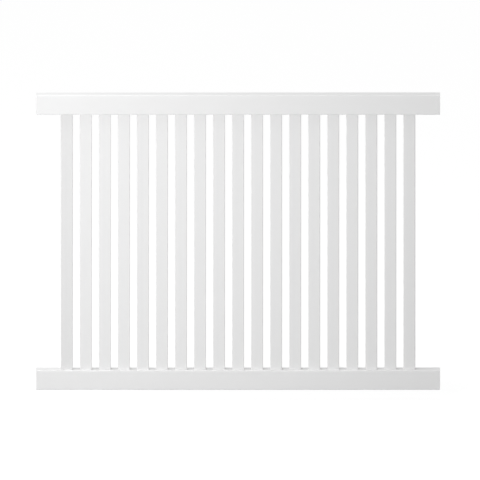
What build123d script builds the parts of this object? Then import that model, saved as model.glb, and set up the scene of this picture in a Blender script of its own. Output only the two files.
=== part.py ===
"""Vinyl pool fence panel: two hollow rails, and nineteen hollow pickets that stand in holes routed in them.

X runs along the rails, Y through the panel and Z up.
The origin is on the underside of the bottom rail, halfway along it.
"""

import os

from build123d import *

# Driving dimensions, in millimetres.
# The rails are 2 by 3-1/2 inch tubes, and the panel is 53 inches high.
panel_height = 1346.2
rail_length = 1770.0
rail_depth = 50.8
rail_height = 88.9
rail_wall = 2.3
rail_corner_radius = 4.0

# Bare rail past each outer picket, whose end goes into a post
rail_end_run = 108.4

picket_count = 19
picket_width = 52.0
picket_depth = 22.2
picket_wall = 1.5
picket_corner_radius = 3.0

# Gap all round a picket in its routed hole
hole_clearance = 0.3

# Sizes worked out from those above
top_rail_base = panel_height - rail_height
picket_base = rail_wall
picket_length = panel_height - 2 * rail_wall
picket_pitch = (rail_length - 2 * rail_end_run - picket_width) / (picket_count - 1)
first_picket_x = -picket_pitch * (picket_count - 1) / 2


def rounded_tube(width, height, wall, corner_radius):
    """Draws a tube's section, with rounded corners and the same wall all round."""
    RectangleRounded(width, height, corner_radius)
    RectangleRounded(
        width - 2 * wall,
        height - 2 * wall,
        corner_radius - wall,
        mode=Mode.SUBTRACT,
    )


# The rails are the same extruded tube.
# The holes for the pickets are routed in one wall only, the wall that faces the other rail.
rails = []
for name, rail_base, routed_wall_base in [
    ("bottom_rail", 0, rail_height - rail_wall),
    ("top_rail", top_rail_base, top_rail_base),
]:
    with BuildPart() as rail:
        with BuildSketch(Plane.YZ.offset(-rail_length / 2)):
            with Locations((0, rail_base + rail_height / 2)):
                rounded_tube(rail_depth, rail_height, rail_wall, rail_corner_radius)
        extrude(amount=rail_length)
        with BuildSketch(Plane.XY.offset(routed_wall_base)):
            with GridLocations(picket_pitch, 0, picket_count, 1):
                RectangleRounded(
                    picket_width + 2 * hole_clearance,
                    picket_depth + 2 * hole_clearance,
                    picket_corner_radius + hole_clearance,
                )
        extrude(amount=rail_wall, mode=Mode.SUBTRACT)
    rail.part.label = name
    rails.append(rail.part)

# Each picket passes through both routed walls and stands on the far wall inside the bottom rail.
# Its top carries the upper wall of the top rail.
pickets = []
for index in range(picket_count):
    picket_x = first_picket_x + index * picket_pitch
    with BuildPart() as picket:
        with BuildSketch(Plane.XY.offset(picket_base)):
            with Locations((picket_x, 0)):
                rounded_tube(picket_width, picket_depth, picket_wall, picket_corner_radius)
        extrude(amount=picket_length)
    picket.part.label = f"picket_{index + 1:02d}"
    pickets.append(picket.part)

os.makedirs("parts", exist_ok=True)
for piece in [*rails, *pickets]:
    export_step(piece, f"parts/{piece.label}.step")
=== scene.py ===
"""Dresses the vinyl pool fence panel, laid out as an add-on and run as a script.

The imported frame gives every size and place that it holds. Geometry Nodes make the rails and the row of
pickets as the real ones are made: hollow extrusions, sawn to length, with the rails' holes routed out.
"""

import math

import bpy
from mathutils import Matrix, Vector


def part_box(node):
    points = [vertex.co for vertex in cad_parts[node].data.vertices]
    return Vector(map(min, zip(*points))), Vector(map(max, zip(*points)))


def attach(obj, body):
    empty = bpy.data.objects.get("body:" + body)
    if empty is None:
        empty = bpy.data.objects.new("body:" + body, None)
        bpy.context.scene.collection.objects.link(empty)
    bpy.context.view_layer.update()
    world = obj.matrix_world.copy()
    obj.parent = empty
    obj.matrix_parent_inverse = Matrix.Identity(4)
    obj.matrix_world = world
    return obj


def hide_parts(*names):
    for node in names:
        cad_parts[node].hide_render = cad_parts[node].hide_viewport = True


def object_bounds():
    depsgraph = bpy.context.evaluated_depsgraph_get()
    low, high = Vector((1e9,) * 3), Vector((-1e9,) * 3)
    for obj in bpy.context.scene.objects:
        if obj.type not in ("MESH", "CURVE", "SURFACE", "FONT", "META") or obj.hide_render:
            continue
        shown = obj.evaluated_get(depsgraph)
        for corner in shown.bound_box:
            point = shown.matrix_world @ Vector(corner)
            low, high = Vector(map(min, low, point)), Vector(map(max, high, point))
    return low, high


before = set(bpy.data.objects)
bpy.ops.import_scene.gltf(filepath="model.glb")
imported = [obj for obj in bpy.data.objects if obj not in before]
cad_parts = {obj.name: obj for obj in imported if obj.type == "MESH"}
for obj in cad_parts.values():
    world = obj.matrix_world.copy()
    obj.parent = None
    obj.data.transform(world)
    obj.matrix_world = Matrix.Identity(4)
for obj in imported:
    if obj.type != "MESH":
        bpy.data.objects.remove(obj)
frame_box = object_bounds()

bl_info = {
    "name": "Vinyl Pool Fence Panel",
    "version": (1, 0, 0),
    "blender": (4, 5, 0),
    "location": "View3D > Sidebar > Fence Panel",
    "description": "Builds and finishes the rails and pickets of a vinyl pool fence panel",
    "category": "Object",
}

MM = 0.001
BODY = "root"
PICKET_NODES = sorted(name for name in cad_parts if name.startswith("picket_"))

# The photograph's width, and where the panel stands in it, in pixels
PHOTO_WIDTH = 480
PANEL_WIDTH = 403.9
PANEL_RIGHT_OF_MIDDLE = -1.9
PANEL_ABOVE_MIDDLE = -1.1

# Straight steps in each rounded corner
CORNER_STEPS = 8

# An edge that turns more sharply than this is a cut one
CUT_EDGE_ANGLE = math.radians(60)

# A surface that faces along the extrusion by more than this is a sawn end
END_FACING = 0.8

# Tone of a sawn end beside the drawn skin
SAWN_TONE = 0.97

# How far the skin's roughness moves to either side of its mean from one die line to the next
ROUGHNESS_SPREAD = 0.05

# Scale of the die lines' noise along the axis, some 300 times as coarse as across it
DIE_LINE_STRETCH = 0.003

# The walls bow by a few tenths of a millimetre as they cool, and the lines are shallower than that
WAVE_BUMP = {"Strength": 0.5, "Distance": 2.5 * MM}
DIE_LINE_BUMP = {"Strength": 0.6, "Distance": 0.15 * MM}
SAW_MARK_STRENGTH = 0.4
SAW_MARK_DEPTH = 0.1 * MM

# Rigid PVC
VINYL_IOR = 1.53


def linear(hex_colour):
    """Turns an sRGB hex colour into a linear one."""
    channels = [int(hex_colour[i : i + 2], 16) / 255 for i in (1, 3, 5)]
    return [c / 12.92 if c <= 0.04045 else ((c + 0.055) / 1.055) ** 2.4 for c in channels]


def node_size(name):
    """A CAD node's size along X, Y and Z."""
    low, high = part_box(name)
    return high - low


def node_middle(name):
    """The middle of a CAD node's box."""
    low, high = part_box(name)
    return (low + high) / 2


class FenceTubes(bpy.types.PropertyGroup):
    """Sizes of the extrusions that the frame's boxes don't give."""

    rail_wall: bpy.props.FloatProperty(
        name="Rail wall",
        description="Wall thickness of the rails",
        default=2.3 * MM,
        unit="LENGTH",
    )
    rail_corner: bpy.props.FloatProperty(
        name="Rail corner",
        description="Outer corner radius of the rails",
        default=4.0 * MM,
        unit="LENGTH",
    )
    picket_wall: bpy.props.FloatProperty(
        name="Picket wall",
        description="Wall thickness of the pickets",
        default=1.5 * MM,
        unit="LENGTH",
    )
    picket_corner: bpy.props.FloatProperty(
        name="Picket corner",
        description="Outer corner radius of the pickets",
        default=3.0 * MM,
        unit="LENGTH",
    )
    hole_clearance: bpy.props.FloatProperty(
        name="Hole clearance",
        description="Gap all round a picket in its routed hole",
        default=0.3 * MM,
        unit="LENGTH",
    )
    cut_edge: bpy.props.FloatProperty(
        name="Cut edge",
        description="Width of the softened edge that the saw and the router leave",
        default=0.25 * MM,
        unit="LENGTH",
    )
    picket_turn: bpy.props.FloatProperty(
        name="Picket turn",
        description="Furthest that a picket turns in its loose hole",
        default=math.radians(0.35),
        subtype="ANGLE",
    )
    picket_seed: bpy.props.IntProperty(
        name="Picket seed",
        description="Picks which way each picket turns",
        default=4,
    )


class FenceFinish(bpy.types.PropertyGroup):
    """Colour and surface of the vinyl."""

    colour: bpy.props.FloatVectorProperty(
        name="Vinyl colour",
        description="Body colour of the white vinyl",
        default=linear("#EDEDED"),
        subtype="COLOR",
    )
    roughness: bpy.props.FloatProperty(
        name="Roughness",
        description="Roughness of the drawn skin",
        default=0.38,
        subtype="FACTOR",
    )
    cut_roughness: bpy.props.FloatProperty(
        name="Cut roughness",
        description="Roughness of the sawn ends",
        default=0.62,
        subtype="FACTOR",
    )
    die_line: bpy.props.FloatProperty(
        name="Die line",
        description="Spacing of the fine lines that the die draws along an extrusion",
        default=4.0 * MM,
        unit="LENGTH",
    )
    wave: bpy.props.FloatProperty(
        name="Wave",
        description="Length of the slow waves that cooling leaves in a wall",
        default=160 * MM,
        unit="LENGTH",
    )
    saw_mark: bpy.props.FloatProperty(
        name="Saw mark",
        description="Spacing of the marks that the saw leaves on a cut end",
        default=1.1 * MM,
        unit="LENGTH",
    )
    tone_spread: bpy.props.FloatProperty(
        name="Tone spread",
        description="How much darker than its neighbours a picket may be",
        default=0.01,
        subtype="FACTOR",
    )
    # Painted shade: the left picket is darkened by this factor, standing in for the shade that falls on the
    # left end of the panel
    first_picket_painted_shade: bpy.props.FloatProperty(
        name="First picket painted shade",
        description="Tone of the left picket, which is a little greyer than the others",
        default=0.92,
        subtype="FACTOR",
    )


class FenceStage(bpy.types.PropertyGroup):
    """Camera, lights and floor."""

    elevation: bpy.props.FloatProperty(
        name="Camera elevation",
        description="How far the camera looks down on the panel",
        default=math.radians(16.5),
        subtype="ANGLE",
    )
    camera_distance: bpy.props.FloatProperty(
        name="Camera distance",
        description="Distance from the camera to the middle of the panel",
        default=6.0,
        unit="LENGTH",
    )
    key_place: bpy.props.FloatVectorProperty(
        name="Key light place",
        description="Where the soft key light stands, in front and to the left",
        default=(-1.55, -3.7, 1.75),
        subtype="TRANSLATION",
    )
    key_width: bpy.props.FloatProperty(
        name="Key light width",
        description="Width of the key light",
        default=0.8,
        unit="LENGTH",
    )
    key_height: bpy.props.FloatProperty(
        name="Key light height",
        description="Height of the key light",
        default=1.4,
        unit="LENGTH",
    )
    key_power: bpy.props.FloatProperty(
        name="Key light power",
        description="Power of the key light",
        default=75.5,
        unit="POWER",
    )
    top_place: bpy.props.FloatVectorProperty(
        name="Top light place",
        description="Where the soft top light hangs",
        default=(-2.2, -0.3, 4.2),
        subtype="TRANSLATION",
    )
    top_size: bpy.props.FloatProperty(
        name="Top light size",
        description="Width and length of the top light",
        default=1.4,
        unit="LENGTH",
    )
    top_power: bpy.props.FloatProperty(
        name="Top light power",
        description="Power of the top light",
        default=55.0,
        unit="POWER",
    )
    left_wall_light: bpy.props.FloatProperty(
        name="Left wall light",
        description="Strength of the room's light from the left",
        default=0.68,
    )
    right_wall_light: bpy.props.FloatProperty(
        name="Right wall light",
        description="Strength of the room's light from the right",
        default=0.39,
    )
    floor_drop: bpy.props.FloatProperty(
        name="Floor drop",
        description="Gap under the panel, which its posts would hold off the ground",
        default=50 * MM,
        unit="LENGTH",
    )
    floor_size: bpy.props.FloatProperty(
        name="Floor size",
        description="Side of the square floor",
        default=40.0,
        unit="LENGTH",
    )
    floor_colour: bpy.props.FloatVectorProperty(
        name="Floor colour",
        description="Colour of the pale floor",
        default=linear("#BCBCBC"),
        subtype="COLOR",
    )
    floor_glow: bpy.props.FloatProperty(
        name="Floor glow",
        description="White that the camera sees in the floor whatever the light",
        default=0.86,
        subtype="FACTOR",
    )
    shadow_share: bpy.props.FloatProperty(
        name="Shadow share",
        description="Share of the lamps' light that shows on the white floor, and its shadows' depth",
        default=0.23,
        subtype="FACTOR",
    )


def add_node(tree, kind, inputs=None, **settings):
    """Adds a node with its settings. Each input is a value, or a socket that is linked to it."""
    node = tree.nodes.new(kind)
    for name, value in settings.items():
        setattr(node, name, value)
    for key, value in (inputs or {}).items():
        if isinstance(value, bpy.types.NodeSocket):
            tree.links.new(value, node.inputs[key])
        else:
            node.inputs[key].default_value = value
    return node


LENGTH = "NodeSocketFloat"
TUBE_INPUTS = {"Width": LENGTH, "Depth": LENGTH, "Length": LENGTH, "Wall": LENGTH, "Corner": LENGTH}
ROW_INPUTS = {"Count": "NodeSocketInt", "First": LENGTH, "Pitch": LENGTH}


def start_tree(name, inputs):
    """Starts a geometry tree with named inputs, and returns it with their sockets."""
    tree = bpy.data.node_groups.new(name, "GeometryNodeTree")
    tree.interface.new_socket("Mesh", in_out="OUTPUT", socket_type="NodeSocketGeometry")
    for label, kind in inputs.items():
        tree.interface.new_socket(label, in_out="INPUT", socket_type=kind)
    return tree, add_node(tree, "NodeGroupInput").outputs


def less(tree, value, wall, walls):
    """A length with so many walls taken off it."""
    taken = add_node(tree, "ShaderNodeMath", {0: wall, 1: walls}, operation="MULTIPLY")
    rest = add_node(tree, "ShaderNodeMath", {0: value, 1: taken.outputs[0]}, operation="SUBTRACT")
    return rest.outputs[0]


def rounded_outline(tree, width, depth, corner):
    """A rounded rectangle, flat in X and Y."""
    sharp = add_node(
        tree,
        "GeometryNodeCurvePrimitiveQuadrilateral",
        {"Width": width, "Height": depth},
        mode="RECTANGLE",
    )
    rounded = add_node(
        tree,
        "GeometryNodeFilletCurve",
        {"Curve": sharp.outputs[0], "Count": CORNER_STEPS, "Radius": corner},
        mode="POLY",
    )
    return rounded.outputs[0]


def hollow_tube_tree():
    """An upright hollow tube about the origin, made by carrying the wall's section round the tube."""
    tree, given = start_tree("hollow_tube", TUBE_INPUTS)
    wall_middle = rounded_outline(
        tree,
        less(tree, given["Width"], given["Wall"], 1.0),
        less(tree, given["Depth"], given["Wall"], 1.0),
        less(tree, given["Corner"], given["Wall"], 0.5),
    )
    upright = add_node(tree, "GeometryNodeSetCurveNormal", {"Curve": wall_middle}, mode="Z_UP")
    wall = add_node(
        tree,
        "GeometryNodeCurvePrimitiveQuadrilateral",
        {"Width": given["Wall"], "Height": given["Length"]},
        mode="RECTANGLE",
    )
    tube = add_node(
        tree,
        "GeometryNodeCurveToMesh",
        {"Curve": upright.outputs[0], "Profile Curve": wall.outputs[0]},
    )
    add_node(tree, "NodeGroupOutput", {"Mesh": tube.outputs[0]})
    return tree


def add_tube(tree, given):
    """The hollow tube, with the sizes that a tree was given."""
    tube_tree = bpy.data.node_groups.get("hollow_tube") or hollow_tube_tree()
    node = add_node(tree, "GeometryNodeGroup", node_tree=tube_tree)
    for label in TUBE_INPUTS:
        tree.links.new(given[label], node.inputs[label])
    return node.outputs["Mesh"]


def row_of(tree, piece, given, height, turn=None):
    """One instance of a piece at each picket's place."""
    first = add_node(tree, "ShaderNodeCombineXYZ", {"X": given["First"], "Z": height})
    step = add_node(tree, "ShaderNodeCombineXYZ", {"X": given["Pitch"]})
    places = add_node(
        tree,
        "GeometryNodeMeshLine",
        {"Count": given["Count"], "Start Location": first.outputs[0], "Offset": step.outputs[0]},
        mode="OFFSET",
    )
    row = add_node(tree, "GeometryNodeInstanceOnPoints", {"Points": places.outputs[0], "Instance": piece})
    if turn:
        tree.links.new(turn, row.inputs["Rotation"])
    return row.outputs[0]


def end_tree(tree, mesh, material):
    """Shades the shape smooth, makes its instances real and gives it its material."""
    smooth = add_node(tree, "GeometryNodeSetShadeSmooth", {"Geometry": mesh})
    real = add_node(tree, "GeometryNodeRealizeInstances", {"Geometry": smooth.outputs[0]})
    finished = add_node(
        tree, "GeometryNodeSetMaterial", {"Geometry": real.outputs[0], "Material": material}
    )
    add_node(tree, "NodeGroupOutput", {"Mesh": finished.outputs[0]})


def picket_row_tree():
    """The pickets in their row, each turned a little in its loose hole."""
    tree, given = start_tree(
        "picket_row",
        {
            **TUBE_INPUTS,
            **ROW_INPUTS,
            "Height": LENGTH,
            "Turn": LENGTH,
            "Seed": "NodeSocketInt",
            "Material": "NodeSocketMaterial",
        },
    )
    other_way = add_node(tree, "ShaderNodeMath", {0: given["Turn"], 1: -1.0}, operation="MULTIPLY")
    angle = add_node(
        tree,
        "FunctionNodeRandomValue",
        {2: other_way.outputs[0], 3: given["Turn"], "Seed": given["Seed"]},
        data_type="FLOAT",
    )
    turn = add_node(tree, "ShaderNodeCombineXYZ", {"Z": angle.outputs[1]})
    pickets = row_of(tree, add_tube(tree, given), given, given["Height"], turn.outputs[0])
    end_tree(tree, pickets, given["Material"])
    return tree


def routed_rail_tree():
    """A rail with a row of holes routed in its upper wall, then turned over if it is the top one."""
    tree, given = start_tree(
        "routed_rail",
        {
            **TUBE_INPUTS,
            **ROW_INPUTS,
            "Hole Width": LENGTH,
            "Hole Depth": LENGTH,
            "Hole Corner": LENGTH,
            "Height": LENGTH,
            "Roll": LENGTH,
            "Material": "NodeSocketMaterial",
        },
    )
    lying = add_node(
        tree,
        "GeometryNodeTransform",
        {"Geometry": add_tube(tree, given), "Rotation": (0, math.pi / 2, 0)},
    )
    top = add_node(tree, "ShaderNodeMath", {0: given["Width"], 1: 0.5}, operation="MULTIPLY")
    half_wall = add_node(tree, "ShaderNodeMath", {0: given["Wall"], 1: 0.5}, operation="MULTIPLY")
    wall_height = add_node(
        tree, "ShaderNodeMath", {0: top.outputs[0], 1: half_wall.outputs[0]}, operation="SUBTRACT"
    )
    cutter_top = add_node(tree, "ShaderNodeCombineXYZ", {"Z": given["Wall"]})
    cutter_foot = add_node(
        tree, "ShaderNodeVectorMath", {0: cutter_top.outputs[0], 1: (0, 0, -1)}, operation="MULTIPLY"
    )
    cutter_run = add_node(
        tree,
        "GeometryNodeCurvePrimitiveLine",
        {"Start": cutter_foot.outputs[0], "End": cutter_top.outputs[0]},
    )
    outline = rounded_outline(tree, given["Hole Width"], given["Hole Depth"], given["Hole Corner"])
    cutter = add_node(
        tree,
        "GeometryNodeCurveToMesh",
        {"Curve": cutter_run.outputs[0], "Profile Curve": outline, "Fill Caps": True},
    )
    row = row_of(tree, cutter.outputs[0], given, wall_height.outputs[0])
    cutters = add_node(tree, "GeometryNodeRealizeInstances", {"Geometry": row})
    routed = add_node(
        tree,
        "GeometryNodeMeshBoolean",
        {"Mesh 1": lying.outputs[0], "Mesh 2": cutters.outputs[0]},
        operation="DIFFERENCE",
        solver="EXACT",
    )
    roll = add_node(tree, "ShaderNodeCombineXYZ", {"X": given["Roll"]})
    place = add_node(tree, "ShaderNodeCombineXYZ", {"Z": given["Height"]})
    placed = add_node(
        tree,
        "GeometryNodeTransform",
        {"Geometry": routed.outputs[0], "Rotation": roll.outputs[0], "Translation": place.outputs[0]},
    )
    end_tree(tree, placed.outputs[0], given["Material"])
    return tree


def make_piece(name, tree, inputs, cut_edge):
    """Runs a tree with its inputs, softens the cut edges, and keeps the result as a plain mesh."""
    maker = bpy.data.objects.new(name + "_maker", bpy.data.meshes.new(name + "_maker"))
    bpy.context.scene.collection.objects.link(maker)
    modifier = maker.modifiers.new("Extrusion", "NODES")
    modifier.node_group = tree
    for item in tree.interface.items_tree:
        if item.in_out == "INPUT":
            modifier[item.identifier] = inputs[item.name]
    bevel = maker.modifiers.new("Cut edges", "BEVEL")
    bevel.width = cut_edge
    bevel.segments = 2
    bevel.limit_method = "ANGLE"
    bevel.angle_limit = CUT_EDGE_ANGLE
    flat_faces = maker.modifiers.new("Flat faces", "WEIGHTED_NORMAL")
    flat_faces.keep_sharp = True

    evaluated = maker.evaluated_get(bpy.context.evaluated_depsgraph_get())
    mesh = bpy.data.meshes.new_from_object(evaluated)
    bpy.data.objects.remove(maker)
    if not mesh.polygons:
        raise RuntimeError(f"the tree {tree.name} made no faces for {name}")
    mesh.name = name
    piece = bpy.data.objects.new(name, mesh)
    bpy.context.scene.collection.objects.link(piece)
    return piece


def extruded_vinyl(name, drawn_axis, finish, pitch=None, first=0.0):
    """White rigid PVC, drawn through a die along one axis.

    The die leaves a smooth skin with a low sheen, fine lines along the extrusion and slow waves in its
    walls. The sawn ends are duller and show the saw's marks. With a pitch, each picket has its own tone,
    and the left picket is darkened with painted shade.
    """
    material = bpy.data.materials.new(name)
    material.use_nodes = True
    tree = material.node_tree
    tree.nodes.clear()
    place = add_node(tree, "ShaderNodeTexCoord").outputs["Object"]

    # Real die lines stand about half a millimetre apart, and are drawn coarser here so that they show.
    # A line hardly changes along the axis.
    stretch = [DIE_LINE_STRETCH if axis == drawn_axis else 1.0 for axis in "XYZ"]
    along = add_node(tree, "ShaderNodeMapping", {"Vector": place, "Scale": stretch})
    die_lines = add_node(
        tree,
        "ShaderNodeTexNoise",
        {"Vector": along.outputs[0], "Scale": 1 / finish.die_line, "Detail": 2.0},
    )
    waves = add_node(
        tree, "ShaderNodeTexNoise", {"Vector": place, "Scale": 1 / finish.wave, "Detail": 1.0}
    )

    # The sawn ends are where the surface faces along the extrusion
    normal = add_node(tree, "ShaderNodeNewGeometry").outputs["Normal"]
    facing = add_node(tree, "ShaderNodeSeparateXYZ", {0: normal}).outputs[drawn_axis]
    along_axis = add_node(tree, "ShaderNodeMath", {0: facing}, operation="ABSOLUTE")
    sawn = add_node(
        tree, "ShaderNodeMath", {0: along_axis.outputs[0], 1: END_FACING}, operation="GREATER_THAN"
    ).outputs[0]

    # Diagonal bands repeat as the coordinates' sum grows by tau / 10, and a cut spans two coordinates
    saw_scale = math.tau / (10 * math.sqrt(2) * finish.saw_mark)
    saw_marks = add_node(
        tree,
        "ShaderNodeTexWave",
        {"Vector": place, "Scale": saw_scale, "Distortion": 1.5, "Detail": 1.0},
        bands_direction="DIAGONAL",
    )

    # White pigment is even, so the tone moves very little
    tone = add_node(
        tree,
        "ShaderNodeMapRange",
        {"Value": waves.outputs[0], "To Min": 1 - finish.tone_spread / 2, "To Max": 1.0},
    ).outputs[0]
    if pitch:
        across = add_node(tree, "ShaderNodeSeparateXYZ", {0: place})
        steps = add_node(
            tree,
            "ShaderNodeMath",
            {0: across.outputs["X"], 1: 1 / pitch, 2: 0.5 - first / pitch},
            operation="MULTIPLY_ADD",
        )
        number = add_node(tree, "ShaderNodeMath", {0: steps.outputs[0]}, operation="FLOOR")
        chance = add_node(
            tree, "ShaderNodeTexWhiteNoise", {"W": number.outputs[0]}, noise_dimensions="1D"
        )
        own_tone_and_painted_shade = add_node(
            tree,
            "ShaderNodeMapRange",
            {"Value": chance.outputs["Value"], "To Min": 1 - finish.tone_spread, "To Max": 1.0},
        )
        # Painted shade: the left picket is made darker, standing in for the shade that falls on the left
        # end of the panel, on top of its own random tone
        is_first = add_node(
            tree, "ShaderNodeMath", {0: number.outputs[0], 1: 0.5}, operation="LESS_THAN"
        )
        own_tone_and_painted_shade = add_node(
            tree,
            "ShaderNodeMix",
            {0: is_first.outputs[0], 2: own_tone_and_painted_shade.outputs[0], 3: finish.first_picket_painted_shade},
            data_type="FLOAT",
        )
        tone = add_node(
            tree, "ShaderNodeMath", {0: tone, 1: own_tone_and_painted_shade.outputs[0]}, operation="MULTIPLY"
        ).outputs[0]
    sawn_tone = add_node(
        tree, "ShaderNodeMapRange", {"Value": sawn, "To Min": 1.0, "To Max": SAWN_TONE}
    )
    tone = add_node(
        tree, "ShaderNodeMath", {0: tone, 1: sawn_tone.outputs[0]}, operation="MULTIPLY"
    ).outputs[0]
    colour = add_node(
        tree,
        "ShaderNodeVectorMath",
        {0: list(finish.colour), "Scale": tone},
        operation="SCALE",
    ).outputs[0]

    skin_roughness = add_node(
        tree,
        "ShaderNodeMapRange",
        {
            "Value": die_lines.outputs[0],
            "To Min": finish.roughness - ROUGHNESS_SPREAD,
            "To Max": finish.roughness + ROUGHNESS_SPREAD,
        },
    ).outputs[0]
    roughness = add_node(
        tree,
        "ShaderNodeMix",
        {0: sawn, 2: skin_roughness, 3: finish.cut_roughness},
        data_type="FLOAT",
    ).outputs[0]

    # Each bump adds its own relief to the one before, and the saw's marks are on the sawn ends alone
    wavy = add_node(tree, "ShaderNodeBump", {"Height": waves.outputs[0], **WAVE_BUMP})
    lined = add_node(
        tree,
        "ShaderNodeBump",
        {"Height": die_lines.outputs[0], "Normal": wavy.outputs[0], **DIE_LINE_BUMP},
    )
    saw_strength = add_node(
        tree, "ShaderNodeMath", {0: sawn, 1: SAW_MARK_STRENGTH}, operation="MULTIPLY"
    )
    surface = add_node(
        tree,
        "ShaderNodeBump",
        {
            "Height": saw_marks.outputs["Fac"],
            "Strength": saw_strength.outputs[0],
            "Distance": SAW_MARK_DEPTH,
            "Normal": lined.outputs[0],
        },
    )
    vinyl = add_node(
        tree,
        "ShaderNodeBsdfPrincipled",
        {
            "Base Color": colour,
            "Roughness": roughness,
            "IOR": VINYL_IOR,
            "Normal": surface.outputs[0],
        },
    )
    add_node(tree, "ShaderNodeOutputMaterial", {"Surface": vinyl.outputs[0]})
    return material


def row_inputs():
    """The number, first place and pitch of the pickets, from the frame."""
    first = node_middle(PICKET_NODES[0]).x
    last = node_middle(PICKET_NODES[-1]).x
    count = len(PICKET_NODES)
    return {"Count": count, "First": first, "Pitch": (last - first) / (count - 1)}


class FENCE_OT_rails(bpy.types.Operator):
    """Extrude the two rails and rout their holes"""

    bl_idname = "fence.rails"
    bl_label = "Rails"

    def execute(self, context):
        """Makes one plain mesh for each rail."""
        tubes = context.scene.fence_tubes
        vinyl = extruded_vinyl("extruded_pvc_rail", "X", context.scene.fence_finish)
        picket = node_size(PICKET_NODES[0])
        tree = routed_rail_tree()
        for name, node, roll in (
            ("lower_rail", "bottom_rail", 0.0),
            ("upper_rail", "top_rail", math.pi),
        ):
            size = node_size(node)
            inputs = {
                "Width": size.z,
                "Depth": size.y,
                "Length": size.x,
                "Wall": tubes.rail_wall,
                "Corner": tubes.rail_corner,
                **row_inputs(),
                "Hole Width": picket.x + 2 * tubes.hole_clearance,
                "Hole Depth": picket.y + 2 * tubes.hole_clearance,
                "Hole Corner": tubes.picket_corner + tubes.hole_clearance,
                "Height": node_middle(node).z,
                "Roll": roll,
                "Material": vinyl,
            }
            rail = make_piece(name, tree, inputs, tubes.cut_edge)
            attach(rail, BODY)
            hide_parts(node)
        return {"FINISHED"}


class FENCE_OT_pickets(bpy.types.Operator):
    """Stand the row of pickets in the rails"""

    bl_idname = "fence.pickets"
    bl_label = "Pickets"

    def execute(self, context):
        """Makes one plain mesh of the whole row."""
        tubes = context.scene.fence_tubes
        row = row_inputs()
        vinyl = extruded_vinyl(
            "extruded_pvc_picket", "Z", context.scene.fence_finish, row["Pitch"], row["First"]
        )
        size = node_size(PICKET_NODES[0])
        inputs = {
            "Width": size.x,
            "Depth": size.y,
            "Length": size.z,
            "Wall": tubes.picket_wall,
            "Corner": tubes.picket_corner,
            **row,
            "Height": node_middle(PICKET_NODES[0]).z,
            "Turn": tubes.picket_turn,
            "Seed": tubes.picket_seed,
            "Material": vinyl,
        }
        pickets = make_piece("picket_row", picket_row_tree(), inputs, tubes.cut_edge)
        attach(pickets, BODY)
        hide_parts(*PICKET_NODES)
        return {"FINISHED"}


def seen_directly(tree):
    """1 where the camera sees a surface, itself or through gloss or glass, and 0 for the light it gives."""
    path = add_node(tree, "ShaderNodeLightPath").outputs
    mirrored = add_node(
        tree, "ShaderNodeMath", {0: path["Is Camera Ray"], 1: path["Is Glossy Ray"]}, operation="MAXIMUM"
    )
    return add_node(
        tree,
        "ShaderNodeMath",
        {0: mirrored.outputs[0], 1: path["Is Transmission Ray"]},
        operation="MAXIMUM",
    ).outputs[0]


def make_floor(stage):
    """A pale floor that the camera sees as white, but for the panel's soft shadow."""
    material = bpy.data.materials.new("pale_painted_floor")
    material.use_nodes = True
    tree = material.node_tree
    tree.nodes.clear()
    paint = add_node(tree, "ShaderNodeBsdfDiffuse", {"Color": [*stage.floor_colour, 1]})
    shaded = add_node(tree, "ShaderNodeBsdfDiffuse", {"Color": [stage.shadow_share] * 3 + [1]})
    white = add_node(tree, "ShaderNodeEmission", {"Strength": stage.floor_glow})
    bright = add_node(tree, "ShaderNodeAddShader", {0: shaded.outputs[0], 1: white.outputs[0]})
    surface = add_node(
        tree, "ShaderNodeMixShader", {0: seen_directly(tree), 1: paint.outputs[0], 2: bright.outputs[0]}
    )
    add_node(tree, "ShaderNodeOutputMaterial", {"Surface": surface.outputs[0]})

    half = stage.floor_size / 2
    outline = ((-half, -half), (half, -half), (half, half), (-half, half))
    corners = [(x, y, -stage.floor_drop) for x, y in outline]
    mesh = bpy.data.meshes.new("floor")
    mesh.from_pydata(corners, [], [(0, 1, 2, 3)])
    mesh.materials.append(material)
    floor = bpy.data.objects.new("floor", mesh)
    bpy.context.scene.collection.objects.link(floor)


def make_world(stage):
    """A room with its own light at each side, and a white background for the camera."""
    world = bpy.data.worlds.new("studio")
    world.use_nodes = True
    tree = world.node_tree
    tree.nodes.clear()
    direction = add_node(tree, "ShaderNodeTexCoord").outputs["Generated"]
    rightward = add_node(tree, "ShaderNodeSeparateXYZ", {0: direction}).outputs["X"]
    room = add_node(
        tree,
        "ShaderNodeMapRange",
        {
            "Value": rightward,
            "From Min": -1.0,
            "To Min": stage.left_wall_light,
            "To Max": stage.right_wall_light,
        },
    )
    strength = add_node(
        tree,
        "ShaderNodeMix",
        {0: seen_directly(tree), 2: room.outputs[0], 3: 1.0},
        data_type="FLOAT",
    )
    background = add_node(
        tree, "ShaderNodeBackground", {"Color": (1, 1, 1, 1), "Strength": strength.outputs[0]}
    )
    add_node(tree, "ShaderNodeOutputWorld", {"Surface": background.outputs[0]})
    bpy.context.scene.world = world


def add_softbox(name, place, width, height, power, target):
    """A soft light that faces the panel."""
    light = bpy.data.lights.new(name, "AREA")
    light.shape = "RECTANGLE"
    light.size = width
    light.size_y = height
    light.energy = power
    lamp = bpy.data.objects.new(name, light)
    bpy.context.scene.collection.objects.link(lamp)
    lamp.location = place
    lamp.rotation_euler = (target - lamp.location).to_track_quat("-Z", "Y").to_euler()


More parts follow.
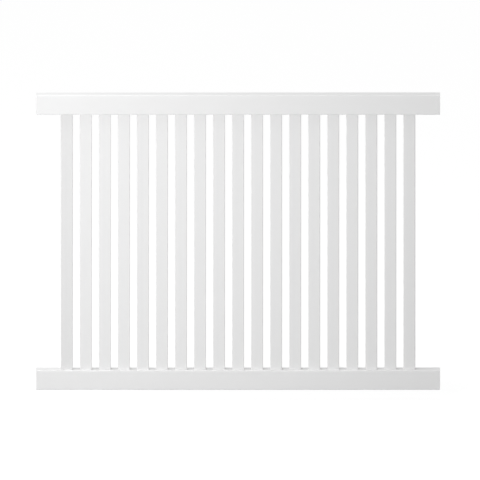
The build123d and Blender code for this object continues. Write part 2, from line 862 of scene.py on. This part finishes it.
def make_camera(stage, panel_low, panel_high):
    """A parallel camera, because the photograph shows no perspective in the panel."""
    data = bpy.data.cameras.new("camera")
    data.type = "ORTHO"
    pixel = (panel_high.x - panel_low.x) / PANEL_WIDTH
    data.ortho_scale = PHOTO_WIDTH * pixel
    data.clip_end = 100
    camera = bpy.data.objects.new("camera", data)
    bpy.context.scene.collection.objects.link(camera)
    middle = (panel_low + panel_high) / 2
    back = Vector((0, -math.cos(stage.elevation), math.sin(stage.elevation)))
    up = Vector((0, math.sin(stage.elevation), math.cos(stage.elevation)))
    aim = middle - Vector((PANEL_RIGHT_OF_MIDDLE * pixel, 0, 0)) - up * PANEL_ABOVE_MIDDLE * pixel
    camera.location = aim + back * stage.camera_distance
    camera.rotation_euler = (math.pi / 2 - stage.elevation, 0, 0)
    bpy.context.scene.camera = camera


class FENCE_OT_stage(bpy.types.Operator):
    """Set up the camera, the light and the pale floor"""

    bl_idname = "fence.stage"
    bl_label = "Stage"

    def execute(self, context):
        """Lights the panel from the front left, at a plain level."""
        stage = context.scene.fence_stage
        low, high = (Vector(corner) for corner in frame_box)
        make_floor(stage)
        make_world(stage)
        middle = (low + high) / 2
        add_softbox(
            "key_light", stage.key_place, stage.key_width, stage.key_height, stage.key_power, middle
        )
        add_softbox(
            "top_light", stage.top_place, stage.top_size, stage.top_size, stage.top_power, middle
        )
        make_camera(stage, low, high)
        context.scene.view_settings.view_transform = "Standard"
        return {"FINISHED"}


class FENCE_PT_panel(bpy.types.Panel):
    """Lists the fence panel's makers and sizes"""

    bl_idname = "FENCE_PT_panel"
    bl_label = "Fence Panel"
    bl_space_type = "VIEW_3D"
    bl_region_type = "UI"
    bl_category = "Fence Panel"

    def draw(self, context):
        """Draws a button for each operator, with its settings below it."""
        layout = self.layout
        scene = context.scene
        for operator in (FENCE_OT_rails, FENCE_OT_pickets, FENCE_OT_stage):
            layout.operator(operator.bl_idname)
        for settings in (scene.fence_tubes, scene.fence_finish, scene.fence_stage):
            box = layout.box()
            for name in settings.__annotations__:
                box.prop(settings, name)


CLASSES = (
    FenceTubes,
    FenceFinish,
    FenceStage,
    FENCE_OT_rails,
    FENCE_OT_pickets,
    FENCE_OT_stage,
    FENCE_PT_panel,
)


def register():
    """Registers the classes and gives the scene their settings."""
    for cls in CLASSES:
        bpy.utils.register_class(cls)
    bpy.types.Scene.fence_tubes = bpy.props.PointerProperty(type=FenceTubes)
    bpy.types.Scene.fence_finish = bpy.props.PointerProperty(type=FenceFinish)
    bpy.types.Scene.fence_stage = bpy.props.PointerProperty(type=FenceStage)


def unregister():
    """Takes the settings and the classes away again."""
    del bpy.types.Scene.fence_stage
    del bpy.types.Scene.fence_finish
    del bpy.types.Scene.fence_tubes
    for cls in reversed(CLASSES):
        bpy.utils.unregister_class(cls)


def main():
    """Makes every piece and the stage."""
    register()
    bpy.ops.fence.rails()
    bpy.ops.fence.pickets()
    bpy.ops.fence.stage()


if __name__ == "__main__":
    main()
